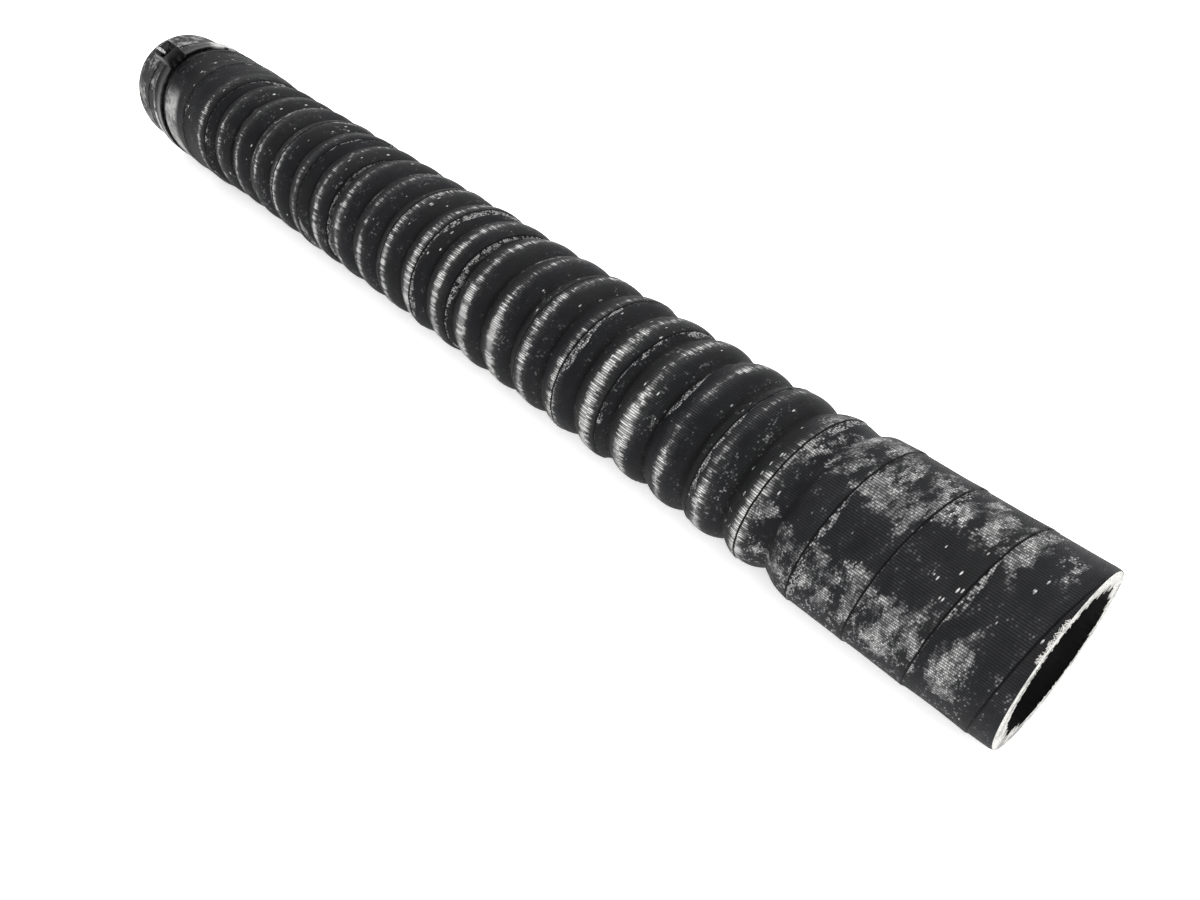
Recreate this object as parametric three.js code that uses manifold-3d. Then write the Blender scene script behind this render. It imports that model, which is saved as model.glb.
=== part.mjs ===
// A corrugated rubber hose with plain cuffs, lying on its side, and the cable tie round its far cuff.
// Millimetres, +Z up. The hose runs along X from its near end to its far end, and the origin is
// on the floor under the middle of the hose. Angles run from the top, towards +Y.
import * as THREE from "three";
import { mergeVertices } from "three/addons/utils/BufferGeometryUtils.js";
import Module from "manifold-3d";

// Hose
const LENGTH = 610;
const BORE = 60;
const CUFF_WALL = 6.5;
const NEAR_CUFF = 85;
const FAR_CUFF = 86;
const END_EDGE = 0.6; // chamfer on the rims of both end faces
const NEAR_SLANT = 3.5; // degrees by which the near end's cut leans
const SHORT_SIDE = 40; // degrees, the side on which that cut leaves the hose shortest

// Corrugation: one left-handed helix, outside only
const PITCH = 20.75;
const WAVE_DEPTH = 3.8; // from crest to valley
const CREST_BELOW_CUFF = 1.2;
const FIRST_CREST = 18.4; // from the near cuff's edge to the first whole crest, along the top
const WAVE_FADE = 12; // length over which the valleys deepen beside each cuff
const CREST_BREADTH = 2.2; // 1 gives straight flanks; more gives broader crests

// Cable tie
const TIE_FROM_END = 31.5; // from the far end to the middle of the strap
const STRAP_WIDTH = 9;
const STRAP_THICK = 1.6;
const STRAP_DRAW = 2; // how far the strap draws the rubber in, from the strap to the far end
const DRAW_SLOPE = 8; // length of the slope into the drawn-in part
const STRAP_LIFT = 18; // degrees each side of the head where the strap leaves the rubber
const HEAD_ANGLE = 25; // degrees, to the nearest flat of the hose
const HEAD_LENGTH = 14; // along the hose
const HEAD_WIDTH = 13; // round the hose
const HEAD_HEIGHT = 9;
const HEAD_LIFT = 0.6; // from the strap's seat to the underside of the head
const SLOT_GAP = 4.6; // open part of the slot, beside the strap's tail
const TAIL_STUB = 2.5; // the cut tail's height above the head

const SEAT_GAP = 0.3; // between the strap and the rubber

// Facets
const SIDES = 28; // round the hose: a multiple of 4 puts a flat at the bottom and on each side
const PITCH_ROWS = 7;
const SLOPE_ROWS = 4;

const { clamp, lerp, smoothstep, degToRad } = THREE.MathUtils;

const cuffRadius = BORE / 2 + CUFF_WALL;
const seatRadius = cuffRadius - STRAP_DRAW + SEAT_GAP;
const strapMiddle = LENGTH - TIE_FROM_END;
const slopeEnd = strapMiddle - STRAP_WIDTH / 2;
const slopeStart = slopeEnd - DRAW_SLOPE;
const waveEnd = LENGTH - FAR_CUFF;
const sideAngle = (2 * Math.PI) / SIDES;
const acrossFlats = Math.cos(sideAngle / 2);
const headAngle = Math.round(degToRad(HEAD_ANGLE) / sideAngle) * sideAngle;

// 0 on the cuffs and 1 along the corrugation
function waveShare(station) {
  const rise = smoothstep(station, NEAR_CUFF, NEAR_CUFF + WAVE_FADE);
  return rise * (1 - smoothstep(station, waveEnd - WAVE_FADE, waveEnd));
}

// How far the corrugation lies below the cuff's surface: round crests with creases between them
function waveDrop(station, angle) {
  const turns = (station - NEAR_CUFF - FIRST_CREST) / PITCH - angle / (2 * Math.PI);
  const fromCrest = Math.abs(turns - Math.round(turns));
  const valley = (2 * fromCrest) ** CREST_BREADTH;
  return waveShare(station) * (CREST_BELOW_CUFF + WAVE_DEPTH * valley);
}

// How far the near end's slanted cut moves a point along the hose
function cutBack(station, across, up) {
  const side = degToRad(SHORT_SIDE);
  const fromLongSide = cuffRadius + across * Math.sin(side) + up * Math.cos(side);
  return Math.tan(degToRad(NEAR_SLANT)) * fromLongSide * Math.max(0, 1 - station / NEAR_CUFF);
}

function drawnIn(station) {
  return STRAP_DRAW * smoothstep(station, slopeStart, slopeEnd);
}

function spread(from, to, rows) {
  return Array.from({ length: rows + 1 }, (_, row) => lerp(from, to, row / rows));
}

// One side of the hose's wall, from its near end to its far end; inset chamfers the rims
function wallSide(radius, inset, innerStations) {
  const slope = spread(slopeStart, slopeEnd, SLOPE_ROWS);
  const stations = [END_EDGE, ...innerStations, ...slope, LENGTH - END_EDGE];
  return [
    new THREE.Vector2(radius + inset, 0),
    ...stations.map((station) => new THREE.Vector2(radius - drawnIn(station), station)),
    new THREE.Vector2(radius - drawnIn(LENGTH) + inset, LENGTH),
  ];
}

function hoseGeometry() {
  const waveRows = Math.ceil(((waveEnd - NEAR_CUFF) / PITCH) * PITCH_ROWS);
  const outside = wallSide(cuffRadius, -END_EDGE, spread(NEAR_CUFF, waveEnd, waveRows));
  const inside = wallSide(BORE / 2, END_EDGE, []);
  const section = [...outside, ...inside.reverse(), outside[0]];
  const geometry = new THREE.LatheGeometry(section, SIDES, sideAngle / 2);
  geometry.rotateZ(-Math.PI / 2);

  // The lathe's corners stand outside the round surface, so that its flats lie on it
  const point = geometry.attributes.position;
  for (let i = 0; i < point.count; i++) {
    const station = point.getX(i);
    const radius = Math.hypot(point.getY(i), point.getZ(i));
    const angle = Math.atan2(point.getY(i), point.getZ(i));
    const isOutside = i % section.length < outside.length;
    const drop = isOutside ? waveDrop(station, angle) : 0;
    const scale = (1 - drop / radius) / acrossFlats;
    const across = point.getY(i) * scale;
    const up = point.getZ(i) * scale;
    point.setXYZ(i, station + cutBack(station, across, up), across, up);
  }
  return geometry;
}

const wasm = await Module();
wasm.setup();

function solid(geometry) {
  geometry.deleteAttribute("normal");
  geometry.deleteAttribute("uv");
  const merged = mergeVertices(geometry);
  const triVerts = new Uint32Array(merged.index.array);
  const vertProperties = merged.attributes.position.array;
  return new wasm.Manifold(new wasm.Mesh({ numProp: 3, vertProperties, triVerts }));
}

function geometryOf(manifold) {
  const { vertProperties, triVerts } = manifold.getMesh();
  const geometry = new THREE.BufferGeometry();
  geometry.setAttribute("position", new THREE.BufferAttribute(vertProperties, 3));
  geometry.setIndex(new THREE.BufferAttribute(triVerts, 1));
  return geometry;
}

// A box of the tie's head: width round the hose, height between two radii, length along the hose
function headBox(width, middle, bottom, top, length) {
  const box = new THREE.BoxGeometry(width, top - bottom, length);
  box.translate(middle, (bottom + top) / 2, 0);
  return solid(box);
}

// The strap's edge at one radius: round the hose, then straight to a peak over the head's middle
function strapEdge(outline, radius) {
  const lift = degToRad(STRAP_LIFT);
  const corner = radius / acrossFlats;
  const angles = [lift];
  for (let side = 0; side < SIDES; side++) {
    angles.push(clamp((side + 0.5) * sideAngle, lift, 2 * Math.PI - lift));
  }
  angles.push(2 * Math.PI - lift);
  outline.moveTo(0, corner / Math.cos(lift));
  for (const angle of new Set(angles)) {
    outline.lineTo(-corner * Math.sin(angle), corner * Math.cos(angle));
  }
  outline.closePath();
  return outline;
}

// Drawn with the head at the top and the hose along Z
function tieGeometry() {
  const strap = strapEdge(new THREE.Shape(), seatRadius + STRAP_THICK);
  strap.holes.push(strapEdge(new THREE.Path(), seatRadius));
  const loop = new THREE.ExtrudeGeometry(strap, { depth: STRAP_WIDTH, bevelEnabled: false });
  loop.translate(0, 0, -STRAP_WIDTH / 2);

  const bottom = seatRadius + HEAD_LIFT;
  const top = bottom + HEAD_HEIGHT;
  const slotWidth = SLOT_GAP + STRAP_THICK;
  const tailMiddle = SLOT_GAP / 2;
  const head = headBox(HEAD_WIDTH, 0, bottom, top, HEAD_LENGTH);
  const slot = headBox(slotWidth, 0, seatRadius, top + TAIL_STUB, STRAP_WIDTH);
  const tail = headBox(STRAP_THICK, tailMiddle, bottom, top + TAIL_STUB, STRAP_WIDTH);
  const tie = solid(loop).add(head).subtract(slot).add(tail);

  const geometry = geometryOf(tie);
  geometry.rotateZ(-headAngle);
  geometry.rotateX(Math.PI / 2);
  geometry.rotateZ(Math.PI / 2);
  return geometry;
}

function piece(name, geometry, finish) {
  const mesh = new THREE.Mesh(geometry, new THREE.MeshStandardMaterial(finish));
  mesh.name = name;
  return mesh;
}

const RUBBER = { color: 0x26282a, roughness: 0.62, metalness: 0 };
const NYLON = { color: 0x151617, roughness: 0.4, metalness: 0 };

const flexibleHose = new THREE.Group();
const hose = piece("hose", hoseGeometry(), RUBBER);
hose.position.set(-LENGTH / 2, 0, cuffRadius);
const cableTie = piece("cable_tie", tieGeometry(), NYLON);
cableTie.position.set(strapMiddle - LENGTH / 2, 0, cuffRadius);
flexibleHose.add(hose, cableTie);

export default flexibleHose;
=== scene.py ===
"""Looks of a corrugated rubber hose that lies on its side, with a cable tie round its far cuff."""

import math

import bpy
import numpy as np
from mathutils import Euler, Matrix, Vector


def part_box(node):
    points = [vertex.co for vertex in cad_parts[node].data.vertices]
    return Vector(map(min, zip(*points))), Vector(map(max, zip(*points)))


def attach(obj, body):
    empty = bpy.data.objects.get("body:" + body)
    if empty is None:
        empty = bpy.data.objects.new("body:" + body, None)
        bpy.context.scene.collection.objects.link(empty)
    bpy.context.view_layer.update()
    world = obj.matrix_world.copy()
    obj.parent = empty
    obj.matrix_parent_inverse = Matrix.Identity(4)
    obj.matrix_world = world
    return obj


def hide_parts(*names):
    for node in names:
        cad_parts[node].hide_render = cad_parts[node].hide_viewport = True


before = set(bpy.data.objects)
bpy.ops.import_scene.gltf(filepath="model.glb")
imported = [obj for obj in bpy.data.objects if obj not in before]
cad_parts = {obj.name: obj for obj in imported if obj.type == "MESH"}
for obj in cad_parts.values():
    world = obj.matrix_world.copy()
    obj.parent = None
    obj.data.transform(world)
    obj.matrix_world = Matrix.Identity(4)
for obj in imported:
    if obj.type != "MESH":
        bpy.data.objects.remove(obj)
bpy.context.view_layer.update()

MM = 0.001
rng = np.random.default_rng(7)

# Hose, from the frame
hose_low, hose_high = (np.array(corner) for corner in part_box("hose"))
LENGTH = hose_high[0] - hose_low[0]
CUFF_RADIUS = (hose_high[2] - hose_low[2]) / 2
NEAR_END = hose_low[0]
AXIS_HEIGHT = CUFF_RADIUS
ROUND = 2 * math.pi * CUFF_RADIUS

# Hose, as in the part's source
CAD_SIDES = 28
BORE_RADIUS = 30 * MM
NEAR_CUFF = 85 * MM
WAVE_END = LENGTH - 86 * MM
PITCH = 20.75 * MM
WAVE_DEPTH = 3.8 * MM
CREST_BELOW_CUFF = 1.2 * MM
FIRST_CREST = NEAR_CUFF + 18.4 * MM
WAVE_FADE = 12 * MM
CREST_BREADTH = 2.2
NEAR_SLANT = math.radians(3.5)
SHORT_SIDE = math.radians(40)
TIE_PLACE = LENGTH - 31.5 * MM
STRAP_WIDTH = 9 * MM
STRAP_THICK = 1.6 * MM
STRAP_DRAW = 2 * MM
DRAW_SLOPE = 8 * MM
SEAT_GAP = 0.3 * MM
SEAT_RADIUS = CUFF_RADIUS - STRAP_DRAW + SEAT_GAP

# Curing tape, wound on before the rubber was cured
LAP_PITCH = 25.6 * MM
LAP_START = 0.033  # turns from the near end along the top to the first lap
LAP_STEP = 0.45 * MM
LAP_RUN = 6 * MM
WARP = 1.05 * MM  # from one thread along the hose to the next
WEFT = 0.64 * MM  # from one thread round the hose to the next

# Mesh
ROWS = 480
COLUMNS = 184
FACE_ROWS = 7

# Cut threads at the near end; places are in turns from the bottom and degrees from the top
THREAD_RADIUS = 0.2 * MM
IN_BORE = 260
FRAYED = (0.64, 0.83)
FRAYED_SHARE = 0.6
IN_TUFT = 80
TUFT = (20, 46)
TUFT_THICKNESS = 0.6

# Tie's head
HEAD_ANGLE = 2 * 2 * math.pi / CAD_SIDES  # on the second flat from the top
HEAD_LIFT = 0.6 * MM
HEAD_HEIGHT = 9 * MM
HEAD_WIDTH = 13 * MM
HEAD_LENGTH = 14 * MM
SLOT_GAP = 4.6 * MM
TAIL_STUB = 2.5 * MM
STRAP_LIFT = math.radians(18)

# Colours
CHALK = (0.55, 0.55, 0.54)
DARK_RUBBER = (0.0030, 0.0032, 0.0044)
DULL_RUBBER = (0.0075, 0.0077, 0.0074)
RIB_SHINE = (0.0240, 0.0242, 0.0270)
# Painted shade for the steps of the tape laps and the creases of the valleys
GROOVE_SHADE = (0.002, 0.002, 0.002)
DARK_NYLON = (0.004, 0.004, 0.0045)
DUSTY_NYLON = (0.05, 0.05, 0.048)
# Pale nylon for the painted highlights on the strap and for the top of the cut tail
NYLON_HIGHLIGHT_AND_PALE = (0.5, 0.5, 0.49)

# Camera
CAMERA_PLACE = (-0.3197, 0.2232, 0.2989)
CAMERA_TURN = (45.3, 0, 226.25)
CAMERA_LENS = 27.85


def smoothstep(value, low, high):
    t = np.clip((value - low) / (high - low), 0, 1)
    return t * t * (3 - 2 * t)


def wobble(along, turn, size, waves):
    """Smooth unevenness that closes on itself round the hose."""
    total = 0
    for _ in range(waves):
        per_length = rng.uniform(2, 40)
        round_hose = rng.integers(0, 6)
        shift = rng.uniform(0, 2 * math.pi)
        total = total + np.sin(2 * math.pi * (per_length * along + round_hose * turn) + shift)
    return size * total / math.sqrt(waves)


def wave_share(along):
    rise = smoothstep(along, NEAR_CUFF, NEAR_CUFF + WAVE_FADE)
    return rise * (1 - smoothstep(along, WAVE_END - WAVE_FADE, WAVE_END))


def drawn_in(along):
    slope_end = TIE_PLACE - STRAP_WIDTH / 2
    return STRAP_DRAW * smoothstep(along, slope_end - DRAW_SLOPE, slope_end)


def outer_radius(along, turn):
    """Turn runs from the bottom, towards +Y, so 0.5 is the top."""
    share = wave_share(along)
    shift = wobble(along, turn, 0.012, 8)
    turns = (along - FIRST_CREST) / PITCH - (turn - 0.5) + shift
    from_crest = np.abs(turns - np.round(turns))
    valley = (2 * from_crest) ** CREST_BREADTH
    laps = along / LAP_PITCH - (turn - 0.5) - LAP_START
    past_lap = (laps % 1) * LAP_PITCH
    lap = LAP_STEP * np.exp(-past_lap / LAP_RUN)
    uneven = wobble(along, turn, 0.1 * MM, 10)
    drop = share * (CREST_BELOW_CUFF + WAVE_DEPTH * valley)
    return CUFF_RADIUS - LAP_STEP - drawn_in(along) - drop + lap + uneven


def ring_mesh(name, points, closed, materials, band_material=None, uv_along=None):
    """A mesh through rings of points; rings, columns and the first ring after the last are joined."""
    rings, columns = points.shape[:2]
    bands = rings if closed else rings - 1
    ring, column = np.meshgrid(np.arange(bands), np.arange(columns), indexing="ij")
    after, beside = (ring + 1) % rings, (column + 1) % columns
    corners = [(ring, column), (ring, beside), (after, beside), (after, column)]
    quads = np.stack([row * columns + place for row, place in corners], axis=-1)
    mesh = bpy.data.meshes.new(name)
    faces = quads.reshape(-1, 4).tolist()
    if not closed:
        faces.append(list(range(columns))[::-1])
        faces.append([(rings - 1) * columns + i for i in range(columns)])
    mesh.from_pydata(points.reshape(-1, 3).tolist(), [], faces)
    if uv_along is not None:
        turn = np.stack([column, column + 1, column + 1, column], axis=-1) / columns
        along = np.stack([uv_along[row] for row, _ in corners], axis=-1)
        uv = np.stack([turn, along], axis=-1).reshape(-1)
        mesh.uv_layers.new(name="wrap").data.foreach_set("uv", uv)
    for material in materials:
        mesh.materials.append(material)
    if band_material is not None:
        mesh.polygons.foreach_set("material_index", np.repeat(band_material, columns))
    mesh.polygons.foreach_set("use_smooth", [True] * len(faces))
    mesh.validate()
    piece = bpy.data.objects.new(name, mesh)
    bpy.context.collection.objects.link(piece)
    return piece


class Finish:
    """A material and the nodes that are added to it. A value may be a number or another node's socket."""

    def __init__(self, name, **shader):
        self.material = bpy.data.materials.new(name)
        self.material.use_nodes = True
        self.tree = self.material.node_tree
        self.shader = self.tree.nodes["Principled BSDF"]
        for socket, value in shader.items():
            self.shader.inputs[socket.replace("_", " ")].default_value = value

    def plug(self, socket, value):
        if isinstance(value, bpy.types.NodeSocket):
            self.tree.links.new(value, socket)
        else:
            socket.default_value = value

    def math(self, operation, *values):
        node = self.tree.nodes.new("ShaderNodeMath")
        node.operation = operation
        for socket, value in zip(node.inputs, values):
            self.plug(socket, value)
        return node.outputs[0]

    def less(self, value, taken):
        return self.math("SUBTRACT", value, taken)

    def add(self, *values):
        total = values[0]
        for value in values[1:]:
            total = self.math("ADD", total, value)
        return total

    def times(self, *values):
        total = values[0]
        for value in values[1:]:
            total = self.math("MULTIPLY", total, value)
        return total

    def most(self, *values):
        total = values[0]
        for value in values[1:]:
            total = self.math("MAXIMUM", total, value)
        return total

    def ramp(self, value, low, high, start=0.0, end=1.0):
        node = self.tree.nodes.new("ShaderNodeMapRange")
        node.interpolation_type = "SMOOTHSTEP"
        for socket, number in zip(node.inputs, (value, low, high, start, end)):
            self.plug(socket, number)
        return node.outputs[0]

    def between(self, value, low, high, soft):
        rise = self.ramp(self.less(value, low), -soft, soft)
        fall = self.ramp(self.less(value, high), -soft, soft, 1.0, 0.0)
        return self.times(rise, fall)

    def from_nearest(self, turns, size):
        """Distance past the nearest whole turn, below 0 before it."""
        return self.times(self.less(self.math("FRACT", self.add(turns, 0.5)), 0.5), size)

    def wrap(self):
        """Turns round the hose from the bottom, and metres from the near end."""
        node = self.tree.nodes.new("ShaderNodeUVMap")
        node.uv_map = "wrap"
        split = self.tree.nodes.new("ShaderNodeSeparateXYZ")
        self.tree.links.new(node.outputs[0], split.inputs[0])
        return split.outputs[0], split.outputs[1]

    def place(self):
        return self.tree.nodes.new("ShaderNodeTexCoord").outputs["Object"]

    def vector(self, x, y, z=0.0):
        node = self.tree.nodes.new("ShaderNodeCombineXYZ")
        for socket, value in zip(node.inputs, (x, y, z)):
            self.plug(socket, value)
        return node.outputs[0]

    def noise(self, vector, scale, detail=3.0, roughness=0.5):
        node = self.tree.nodes.new("ShaderNodeTexNoise")
        self.plug(node.inputs["Vector"], vector)
        node.inputs["Scale"].default_value = scale
        node.inputs["Detail"].default_value = detail
        node.inputs["Roughness"].default_value = roughness
        return node.outputs["Fac"]

    def chance(self, vector):
        """A random number that is the same all over each whole-number cell of the vector."""
        node = self.tree.nodes.new("ShaderNodeTexWhiteNoise")
        self.plug(node.inputs["Vector"], vector)
        return node.outputs["Value"]

    def dots(self, vector, scale):
        """Distance from the nearest scattered dot, and a random number for that dot."""
        node = self.tree.nodes.new("ShaderNodeTexVoronoi")
        self.plug(node.inputs["Vector"], vector)
        node.inputs["Scale"].default_value = scale
        split = self.tree.nodes.new("ShaderNodeSeparateColor")
        self.tree.links.new(node.outputs["Color"], split.inputs[0])
        return node.outputs["Distance"], split.outputs[0]

    def blend(self, share, first, second):
        node = self.tree.nodes.new("ShaderNodeMix")
        node.data_type = "RGBA"
        self.plug(node.inputs["Factor"], share)
        for socket, colour in zip((node.inputs[6], node.inputs[7]), (first, second)):
            self.plug(socket, colour if isinstance(colour, bpy.types.NodeSocket) else (*colour, 1))
        return node.outputs[2]

    def set(self, socket, value):
        self.plug(self.shader.inputs[socket], value)

    def bump(self, height_mm, strength=1.0):
        node = self.tree.nodes.new("ShaderNodeBump")
        node.inputs["Strength"].default_value = strength
        node.inputs["Distance"].default_value = MM
        self.plug(node.inputs["Height"], height_mm)
        self.set("Normal", node.outputs[0])


def rubber_finish():
    """Black rubber with the mark of a woven tape, pale bloom on the crests and cuffs, a painted sheen on the
    weave's ribs, and painted shade along the tape laps and in the valleys.
    """
    f = Finish("rubber", Specular_IOR_Level=0.07)
    turn, along = f.wrap()
    along_mm = f.times(along, 1000.0)
    from_top = f.less(turn, 0.5)

    # Distances in millimetres from the nearest crest and past the nearest tape lap
    crests = f.less(f.math("DIVIDE", f.less(along, FIRST_CREST), PITCH), from_top)
    from_crest = f.from_nearest(crests, PITCH * 1000)
    laps = f.less(f.math("DIVIDE", along, LAP_PITCH), f.add(from_top, LAP_START))
    past_lap = f.from_nearest(laps, LAP_PITCH * 1000)
    off_lap = f.math("ABSOLUTE", past_lap)
    lap_line = f.ramp(off_lap, 0.16, 0.5, 1.0, 0.0)

    # Place on the unrolled tape, so that nothing breaks where the turns start again
    lap_number = f.math("FLOOR", laps)
    tape_run = f.times(f.add(lap_number, turn), ROUND * 1000)
    tape_width = f.times(f.less(laps, lap_number), LAP_PITCH * 1000)

    # Weave: each cell is one crown of a thread, and every second row is half a cell further
    warp = f.times(tape_run, 0.001 / WARP)
    warp_cell = f.math("FLOOR", warp)
    weft = f.add(f.times(tape_width, 0.001 / WEFT), f.times(f.math("MODULO", warp_cell, 2.0), 0.5))
    weft_cell = f.math("FLOOR", weft)
    off_warp = f.math("ABSOLUTE", f.less(f.less(warp, warp_cell), 0.5))
    off_weft = f.math("ABSOLUTE", f.less(f.less(weft, weft_cell), 0.5))
    rib = f.ramp(off_warp, 0.18, 0.5, 1.0, 0.0)
    bead = f.times(rib, f.ramp(off_weft, 0.2, 0.5, 1.0, 0.25))
    cell = f.vector(warp_cell, weft_cell)
    luck = f.less(f.chance(cell), 0.5)
    rib_part = f.math("FLOOR", f.times(tape_width, 0.2))
    rib_luck = f.chance(f.vector(warp_cell, rib_part))
    uneven_rib = f.ramp(rib_luck, 0.0, 1.0, 0.4, 1.15)
    woven = f.vector(f.times(warp_cell, WARP * 550), f.times(weft_cell, WEFT * 1000))
    combed = f.vector(f.times(warp_cell, WARP * 1000), f.times(weft_cell, WEFT * 350))
    flat = f.vector(f.times(tape_run, 0.55), tape_width)
    wide = f.vector(f.times(tape_run, 0.55), along_mm)

    blotch = f.add(f.noise(woven, 0.11, 5.0, 0.62), f.times(luck, 0.05))
    crumbs = f.add(f.noise(woven, 0.42, 3.0, 0.7), f.times(luck, 0.3))
    mottle = f.ramp(f.noise(woven, 0.16, 3.0, 0.6), 0.36, 0.66)
    drift = f.noise(wide, 0.03, 2.0)

    # Bloom on the crests: a band of ribs, widest on the side and broken up on the top
    on_side = f.between(turn, 0.62, 0.84, 0.08)
    to_far_end = f.ramp(along, 0.25, 0.5)
    in_waves = f.times(f.ramp(along, 0.09, 0.112), f.ramp(along, 0.52, 0.54, 1.0, 0.0))
    reach = f.add(f.times(on_side, 1.1), f.times(drift, 5.0), f.times(to_far_end, -1.2), -5.5)
    reach = f.add(reach, f.times(blotch, 6.0), f.times(rib_luck, 1.1))
    off_crest = f.math("ABSOLUTE", f.less(from_crest, 0.5))
    band = f.ramp(f.less(reach, off_crest), -2.0, 1.6)
    scuffs = f.add(f.noise(combed, 0.42, 3.0, 0.7), f.times(luck, 0.1))
    worn = f.add(scuffs, f.times(band, 0.1), f.times(on_side, 0.1), f.times(drift, 0.25))
    fade = f.less(1.0, f.times(to_far_end, f.ramp(turn, 0.5, 0.68, 0.75, 0.0)))
    band = f.times(band, in_waves, f.ramp(worn, 0.5, 0.9, 0.05, 1.0), fade)
    band = f.times(band, f.add(f.times(rib, 0.94), 0.06), uneven_rib)
    beside_band = f.ramp(f.less(reach, off_crest), -4.5, -0.5)
    band = f.most(band, f.times(beside_band, in_waves, rib, 0.035))

    # Bloom in patches on the near cuff, faint elsewhere
    cuff_side = f.between(turn, 0.65, 0.78, 0.03)
    cuff_top = f.between(turn, 0.42, 0.57, 0.03)
    near_side = f.times(cuff_side, f.between(along, 0.012, 0.11, 0.012))
    speckled = f.times(f.between(turn, 0.68, 0.84, 0.03), f.between(along, 0.004, 0.12, 0.012))
    near_top = f.times(cuff_top, f.between(along, 0.006, 0.105, 0.02))
    patch = f.ramp(f.add(f.times(f.most(near_side, near_top), 0.22), blotch), 0.66, 0.78)
    patch = f.times(patch, f.add(f.times(mottle, 0.55), 0.2), f.ramp(crumbs, 0.3, 0.7, 0.3, 1.2))
    faint = f.times(f.ramp(f.add(blotch, f.times(speckled, 0.1)), 0.5, 0.66), f.ramp(crumbs, 0.56, 0.76))
    faint = f.times(faint, f.add(f.times(speckled, 0.35), 0.22))
    lap_width = f.ramp(f.noise(wide, 0.045, 2.0), 0.45, 0.65, -0.4, -3.4)
    lap_bloom = f.times(f.between(past_lap, lap_width, -0.3, 0.25), f.ramp(crumbs, 0.4, 0.62), 0.55)
    lap_bloom = f.times(lap_bloom, f.ramp(along, 0.008, 0.018))
    patch = f.times(f.most(patch, faint, lap_bloom), f.add(f.times(bead, 0.85), 0.15))

    # Smooth smears on the far cuff, beside the tie and beyond it
    wide_smear = f.noise(f.place(), 85.0, 4.0, 0.6)
    fine_smear = f.noise(f.place(), 330.0, 3.0, 0.6)
    smear = f.add(f.times(wide_smear, 0.6), f.times(fine_smear, 0.4))
    beside_tie = f.times(f.between(turn, 0.65, 0.92, 0.03), f.between(along, 0.5535, 0.571, 0.0025))
    beside_tie = f.times(beside_tie, f.ramp(smear, 0.38, 0.62, 0.12, 0.62))
    beyond_tie = f.times(f.between(along, 0.586, 0.62, 0.004), f.ramp(smear, 0.47, 0.62, 0.03, 0.4))

    # Flecks: short, along the tape, and in clusters
    streaks = f.vector(f.times(tape_run, 0.33), tape_width)
    off_dot, dot_luck = f.dots(streaks, 0.6)
    cluster = f.noise(wide, 0.05, 2.0)
    dot_size = f.times(f.ramp(f.add(dot_luck, f.times(cluster, 1.3)), 1.3, 1.75), 0.24)
    inside_dot = f.ramp(f.less(dot_size, off_dot), 0.0, 0.08)
    flecks = f.times(inside_dot, f.ramp(crumbs, 0.3, 0.7, 0.25, 0.95))

    chalk = f.most(band, patch, beside_tie, beyond_tie, flecks)
    chalk = f.times(chalk, f.less(1.0, lap_line))

    # Painted shade: dark lines along the tape laps' steps and in the creases at the bottom of the valleys
    valley_shade = f.ramp(f.math("ABSOLUTE", from_crest), PITCH * 500 - 2.2, PITCH * 500)
    painted_groove_shade = f.most(lap_line, f.times(valley_shade, in_waves, 0.8))
    haze = f.ramp(f.noise(wide, 0.05, 4.0, 0.6), 0.35, 0.75)
    on_cuff = f.ramp(along, 0.08, 0.12, 1.0, 0.0)
    black = f.blend(haze, DARK_RUBBER, DULL_RUBBER)
    shine = f.times(rib, f.add(f.times(on_cuff, 0.38), 0.2), f.ramp(blotch, 0.35, 0.62, 0.5, 1.2))
    black = f.blend(shine, black, RIB_SHINE)
    colour = f.blend(chalk, black, CHALK)
    f.set("Base Color", f.blend(painted_groove_shade, colour, GROOVE_SHADE))
    f.set("Roughness", f.add(f.times(chalk, 0.2), f.times(haze, 0.08), 0.55))
    grain = f.noise(flat, 3.0, 2.0)
    relief = f.add(f.times(bead, 0.12), f.times(grain, 0.03), f.times(blotch, 0.12), f.times(lap_line, -0.3))
    f.bump(relief, 0.9)
    return f.material


def cut_finish():
    """Pale cut face: cloth plies, with a thin black layer at the outer edge."""
    f = Finish("cut_rubber", Specular_IOR_Level=0.2)
    place = f.place()
    split = f.tree.nodes.new("ShaderNodeSeparateXYZ")
    f.tree.links.new(place, split.inputs[0])
    up = f.less(split.outputs[2], AXIS_HEIGHT)
    radius = f.math("SQRT", f.add(f.times(up, up), f.times(split.outputs[1], split.outputs[1])))
    fibres = f.noise(place, 1500.0, 4.0, 0.7)
    smudge = f.noise(place, 140.0, 3.0, 0.6)
    cloth = f.blend(f.ramp(fibres, 0.3, 0.58), (0.20, 0.195, 0.185), (0.70, 0.69, 0.66))
    cloth = f.blend(f.ramp(smudge, 0.45, 0.68), cloth, (0.26, 0.26, 0.25))
    skin = f.ramp(f.add(radius, f.times(fibres, 0.5 * MM)), CUFF_RADIUS - 0.7 * MM, CUFF_RADIUS - 0.4 * MM)
    f.set("Base Color", f.blend(skin, cloth, (0.02, 0.02, 0.02)))
    f.set("Roughness", 0.9)
    f.bump(f.times(fibres, 0.5), 0.7)
    return f.material


def bore_finish():
    f = Finish("bore_rubber", Specular_IOR_Level=0.04)
    smear = f.noise(f.place(), 60.0, 4.0, 0.6)
    f.set("Base Color", f.blend(smear, (0.001, 0.001, 0.001), (0.004, 0.004, 0.004)))
    f.set("Roughness", f.ramp(smear, 0.2, 0.8, 0.38, 0.6))
    f.bump(f.noise(f.place(), 900.0, 2.0), 0.15)
    return f.material


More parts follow.
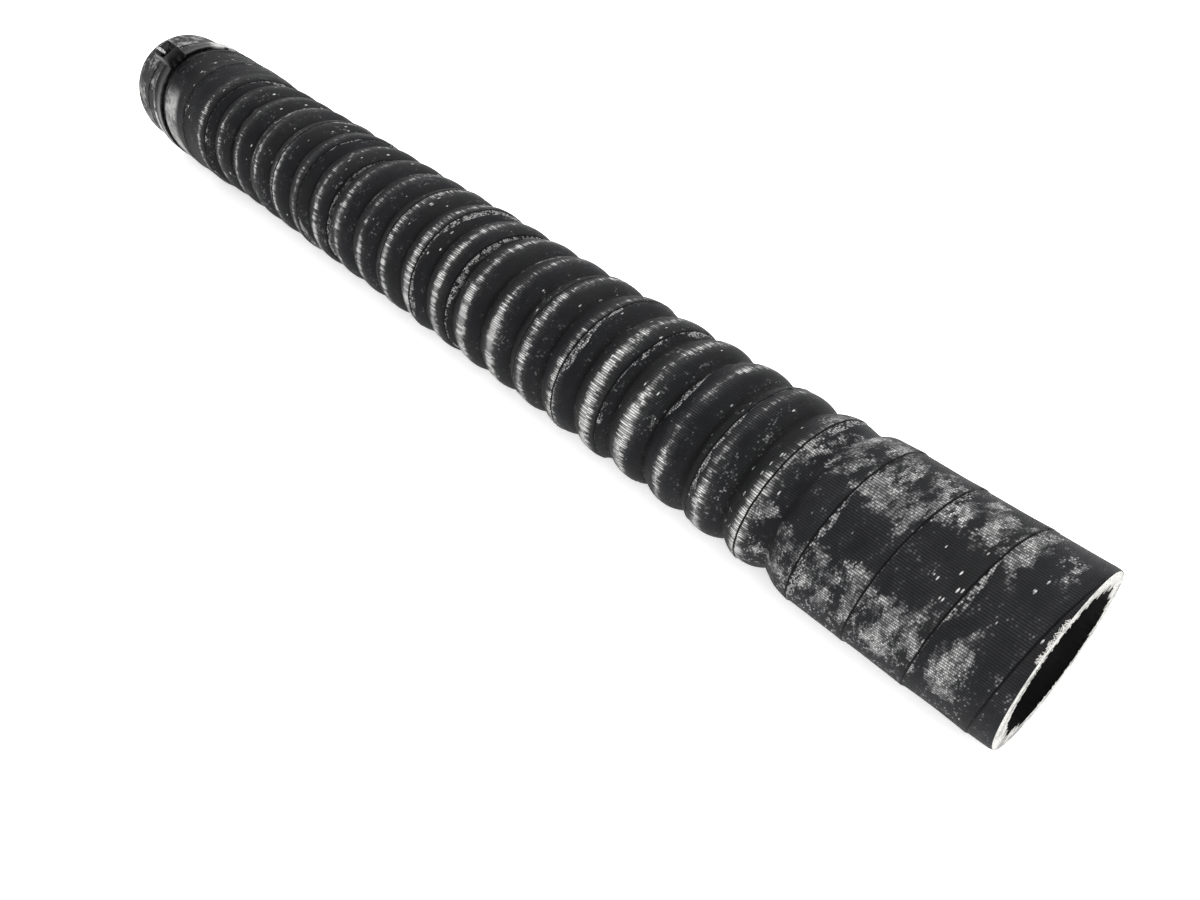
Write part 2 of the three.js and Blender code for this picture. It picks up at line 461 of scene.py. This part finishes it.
def nylon_finish():
    """Black nylon with painted highlights along one edge of the strap and over its crown, and a pale top on
    the cut tail.
    """
    f = Finish("nylon", Specular_IOR_Level=0.25)
    place = f.place()
    split = f.tree.nodes.new("ShaderNodeSeparateXYZ")
    f.tree.links.new(place, split.inputs[0])
    along, across, up = split.outputs
    from_middle = f.less(along, NEAR_END + TIE_PLACE)
    above_axis = f.less(up, AXIS_HEIGHT)
    out = f.add(f.times(across, math.sin(HEAD_ANGLE)), f.times(above_axis, math.cos(HEAD_ANGLE)))
    dust = f.noise(place, 220.0, 5.0, 0.65)

    # Painted highlights along the strap's far edge and over its crown, and a pale top on the cut tail,
    # broken up by the dust noise
    far_edge = f.times(f.ramp(from_middle, 2.4 * MM, 3.6 * MM), f.between(up, 12 * MM, 46 * MM, 8 * MM))
    crown = f.times(f.between(across, -26 * MM, -9 * MM, 3 * MM), f.ramp(up, 58 * MM, 62 * MM))
    head_top = SEAT_RADIUS + HEAD_LIFT + HEAD_HEIGHT
    tail_top = f.ramp(out, head_top, head_top + 1 * MM)
    highlight_and_pale_tail = f.times(f.most(far_edge, f.times(crown, 0.7), tail_top), f.ramp(dust, 0.36, 0.56))
    black = f.blend(f.ramp(dust, 0.5, 0.8), DARK_NYLON, DUSTY_NYLON)
    f.set("Base Color", f.blend(highlight_and_pale_tail, black, NYLON_HIGHLIGHT_AND_PALE))
    f.set("Roughness", f.ramp(dust, 0.3, 0.7, 0.28, 0.45))
    f.bump(f.noise(place, 1400.0, 2.0), 0.12)
    return f.material


def thread_finish():
    f = Finish("thread")
    strands = f.noise(f.place(), 2500.0, 2.0)
    f.set("Base Color", f.blend(strands, (0.35, 0.34, 0.32), (0.78, 0.77, 0.74)))
    f.set("Roughness", 0.95)
    f.bump(strands, 0.3)
    return f.material


def floor_finish():
    f = Finish("studio_floor", Emission_Strength=0.38)
    f.set("Base Color", (0.97, 0.97, 0.97, 1))
    f.set("Emission Color", (1, 1, 1, 1))
    f.set("Roughness", 0.9)
    return f.material


def cut_back(along, radius, angle):
    """How far the near end's slanted cut moves a point along the hose."""
    from_long_side = CUFF_RADIUS + radius * np.cos(angle - SHORT_SIDE)
    return math.tan(NEAR_SLANT) * from_long_side * np.maximum(0, 1 - along / NEAR_CUFF)


def hose_point(along, radius, turn):
    angle = 2 * math.pi * (turn - 0.5)
    x = NEAR_END + along + cut_back(along, radius, angle)
    return np.stack([x, radius * np.sin(angle), AXIS_HEIGHT + radius * np.cos(angle)], axis=-1)


def build_hose():
    turn = (np.arange(COLUMNS) / COLUMNS)[None, :]
    outside = np.linspace(0, LENGTH, ROWS)[:, None]
    outer = outer_radius(outside, turn)
    edge = np.array([0.35, 0.1])[:, None] * MM
    outer[:2] -= edge
    outer[-2:] -= edge[::-1]

    # Rows of the bore from the far end back to the near end, close together where the tie draws it in
    at_tie = np.linspace(LENGTH - 6 * MM, TIE_PLACE - 25 * MM, 9)
    beyond_tie = np.array([300, 100, 10, 0]) * MM
    inside = np.array([LENGTH, *at_tie, *beyond_tie])[:, None]
    inner = BORE_RADIUS - drawn_in(inside) + wobble(inside, turn, 0.08 * MM, 5)
    ragged = wobble(inside[-1:], turn, 0.12 * MM, 4) + rng.normal(0, 0.16 * MM, (1, COLUMNS))
    inner[-1:] += ragged

    # Faces: share 0 on the outer edge, 1 on the inner
    share = np.linspace(0, 1, FACE_ROWS + 2)[1:-1, None]
    far_face = outer[-1:] * (1 - share) + inner[:1] * share
    near_face = inner[-1:] * (1 - share) + outer[:1] * share
    rough = rng.normal(0, 0.12 * MM, (FACE_ROWS, COLUMNS))

    ones = np.ones((1, COLUMNS))
    along = np.concatenate([outside * ones, LENGTH + rough, inside * ones, rough[::-1]])
    radius = np.concatenate([outer, far_face, inner, near_face])
    along = np.clip(along, 0, LENGTH)
    counts = (ROWS - 1, FACE_ROWS + 1, len(inside) - 1, FACE_ROWS + 1)
    band_material = np.repeat([0, 1, 2, 1], counts)
    points = hose_point(along, radius, turn * np.ones_like(radius))
    materials = [rubber_finish(), cut_finish(), bore_finish()]
    return ring_mesh("rubber_hose", points, True, materials, band_material, along.mean(axis=1))


def build_threads():
    """Cut ply threads at the near end: some reach into the bore, and a frayed tuft lies on the outside."""
    curve = bpy.data.curves.new("cut_threads", "CURVE")
    curve.dimensions = "3D"
    curve.bevel_depth = THREAD_RADIUS
    curve.bevel_resolution = 1

    def add_thread(turn, radius, inwards, along, lean, thickness):
        spline = curve.splines.new("POLY")
        spline.points.add(3)
        for i, point in enumerate(spline.points):
            t = i / 3
            place = hose_point(along * t, radius - inwards * t, turn + lean * t * t)
            point.co = (*place, 1)
            point.radius = thickness * (1 - 0.6 * t)

    for _ in range(IN_BORE):
        turn = rng.uniform(*FRAYED) if rng.random() < FRAYED_SHARE else rng.random()
        radius = BORE_RADIUS + rng.uniform(0.0, 0.6) * MM
        inwards = rng.uniform(0.4, 3.0) * MM
        along = rng.uniform(0.0, 0.1) * MM
        add_thread(turn, radius, inwards, along, rng.uniform(-1, 1) * 0.006, 1)
    for _ in range(IN_TUFT):
        turn = 0.5 + rng.uniform(*TUFT) / 360
        radius = CUFF_RADIUS - rng.uniform(0.3, 0.6) * MM
        along = rng.uniform(0.2, 1.3) * MM
        inwards = rng.uniform(-0.25, 0.1) * MM
        add_thread(turn, radius, inwards, along, rng.uniform(-1, 1) * 0.008, TUFT_THICKNESS)
    curve.materials.append(thread_finish())
    piece = bpy.data.objects.new("cut_threads", curve)
    bpy.context.collection.objects.link(piece)
    return piece


def tie_point(across, out, along):
    """Place on the tie: round the hose from the head's middle, out from the hose's axis, along the hose."""
    sine, cosine = math.sin(HEAD_ANGLE), math.cos(HEAD_ANGLE)
    y = across * cosine + out * sine
    z = AXIS_HEIGHT - across * sine + out * cosine
    x = NEAR_END + TIE_PLACE + along
    return np.stack(np.broadcast_arrays(x, y, z), axis=-1)


def build_strap(material):
    angles = np.linspace(STRAP_LIFT, 2 * math.pi - STRAP_LIFT, 120)
    touch = np.stack([np.sin(angles), np.cos(angles)], axis=-1)
    normal = touch.copy()
    run = np.linspace(0.15, 1, 6)[:, None]
    peak = np.array([[0, 1 / math.cos(STRAP_LIFT)]])
    start = peak + (touch[:1] - peak) * run[:-1]
    end = peak + (touch[-1:] - peak) * run[:-1][::-1]
    path = np.concatenate([start, touch, end])
    normal = np.concatenate([np.repeat(normal[:1], 5, 0), normal, np.repeat(normal[-1:], 5, 0)])

    # Section of the strap: flat underside, raised rims at both edges of the top
    half, top = STRAP_WIDTH / 2 / MM, STRAP_THICK / MM
    right = [
        (half - 0.25, 0),
        (half, 0.25),
        (half, top - 0.2),
        (half - 0.2, top),
        (half - 0.9, top),
        (half - 1.2, top - 0.35),
    ]
    section = np.array([*right, *[(-x, y) for x, y in right[::-1]]]) * MM
    seat = path * SEAT_RADIUS
    across = seat[:, None, 0] + normal[:, None, 0] * section[None, :, 1]
    out = seat[:, None, 1] + normal[:, None, 1] * section[None, :, 1]
    points = tie_point(across, out, section[None, :, 0])
    return ring_mesh("tie_strap", points, False, [material])


def squared_ring(half_across, half_along, corner, columns=48):
    """A ring between an oval and a rectangle; a larger corner number is squarer."""
    angle = 2 * math.pi * (np.arange(columns) + 0.5) / columns
    across = half_across * np.sign(np.cos(angle)) * np.abs(np.cos(angle)) ** (2 / corner)
    along = half_along * np.sign(np.sin(angle)) * np.abs(np.sin(angle)) ** (2 / corner)
    return across, along


def loft(name, rings, closed, material):
    """Rings are (middle across, half across, half along, corner, out)."""
    points = []
    for middle, half_across, half_along, corner, out in rings:
        across, along = squared_ring(half_across, half_along, corner)
        points.append(tie_point(across + middle, out, along))
    return ring_mesh(name, np.array(points), closed, [material])


def build_head(material):
    low = SEAT_RADIUS + HEAD_LIFT
    high = low + HEAD_HEIGHT
    wide, long = HEAD_WIDTH / 2, HEAD_LENGTH / 2
    slot_wide, slot_long = (SLOT_GAP + STRAP_THICK) / 2, STRAP_WIDTH / 2 + 0.2 * MM
    edge = 0.5 * MM
    rings = [
        (0, slot_wide, slot_long, 14, low),
        (0, slot_wide, slot_long, 14, high - 5 * edge),
        (0, wide - 3 * edge, long - 3 * edge, 12, high - 4 * edge),
        (0, wide - 2.6 * edge, long - 2.4 * edge, 12, high - edge / 2),
        (0, wide - 2.2 * edge, long - 2 * edge, 9, high),
        (0, wide - 1.2 * edge, long - edge, 9, high - edge),
        (0, wide - edge / 2, long, 9, high - 5 * edge),
        (0, wide, long, 9, low + 4 * edge),
        (0, wide - edge, long - edge, 9, low),
    ]
    head = loft("tie_head", rings[::-1], True, material)
    middle = SLOT_GAP / 2
    half = STRAP_THICK / 2 - 0.05 * MM
    tail_rings = [(middle, half, STRAP_WIDTH / 2 - 0.2 * MM, 12, low - 0.2 * MM)]
    steps = 14
    for step in range(steps):
        tooth = 0.22 * MM * (step % 2)
        height = low + (high + TAIL_STUB - low) * step / steps
        tail_rings.append((middle + tooth / 2, half - tooth / 2, STRAP_WIDTH / 2 - 0.2 * MM, 12, height))
    tail_rings.append((middle, half, STRAP_WIDTH / 2 - 0.2 * MM, 12, high + TAIL_STUB))
    tail = loft("tie_tail", tail_rings, False, material)
    pawl_middle = -slot_wide + 0.7 * MM
    pawl = loft(
        "tie_pawl",
        [
            (pawl_middle - 0.4 * MM, 0.3 * MM, slot_long - 0.8 * MM, 10, low + 1 * MM),
            (pawl_middle, 0.8 * MM, slot_long - 0.8 * MM, 10, low + 3.5 * MM),
            (pawl_middle, 0.7 * MM, slot_long - 0.8 * MM, 10, low + 5 * MM),
            (pawl_middle - 0.4 * MM, 0.3 * MM, slot_long - 0.8 * MM, 10, high - 2 * MM),
        ],
        False,
        material,
    )
    return [head, tail, pawl]


def build_floor():
    bpy.ops.mesh.primitive_plane_add(size=12, location=(0, 0, 0))
    floor = bpy.context.object
    floor.name = "floor"
    floor.data.materials.append(floor_finish())
    return floor


def add_light(name, place, target, size, power):
    data = bpy.data.lights.new(name, "AREA")
    data.shape = "DISK"
    data.size = size
    data.energy = power
    lamp = bpy.data.objects.new(name, data)
    lamp.location = place
    lamp.rotation_euler = (Vector(target) - Vector(place)).to_track_quat("-Z", "Y").to_euler()
    bpy.context.collection.objects.link(lamp)


def add_camera():
    data = bpy.data.cameras.new("camera")
    data.sensor_width = 36
    data.lens = CAMERA_LENS
    camera = bpy.data.objects.new("camera", data)
    camera.location = CAMERA_PLACE
    camera.rotation_euler = Euler([math.radians(angle) for angle in CAMERA_TURN])
    bpy.context.collection.objects.link(camera)
    bpy.context.scene.camera = camera


add_camera()
add_light("key", (0.5, -0.9, 1.3), (0, 0, 0), 1.4, 26)
add_light("fill", (-0.9, 0.9, 1.1), (-0.1, 0, 0), 1.2, 14)
world = bpy.data.worlds.new("studio")
world.use_nodes = True
world.node_tree.nodes["Background"].inputs["Color"].default_value = (1, 1, 1, 1)
world.node_tree.nodes["Background"].inputs["Strength"].default_value = 1.0
bpy.context.scene.world = world
bpy.context.scene.view_settings.view_transform = "Standard"
build_floor()

hose = build_hose()
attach(hose, "root")
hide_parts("hose")

threads = build_threads()
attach(threads, "root")

nylon = nylon_finish()
for piece in [build_strap(nylon), *build_head(nylon)]:
    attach(piece, "root")
    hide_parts("cable_tie")
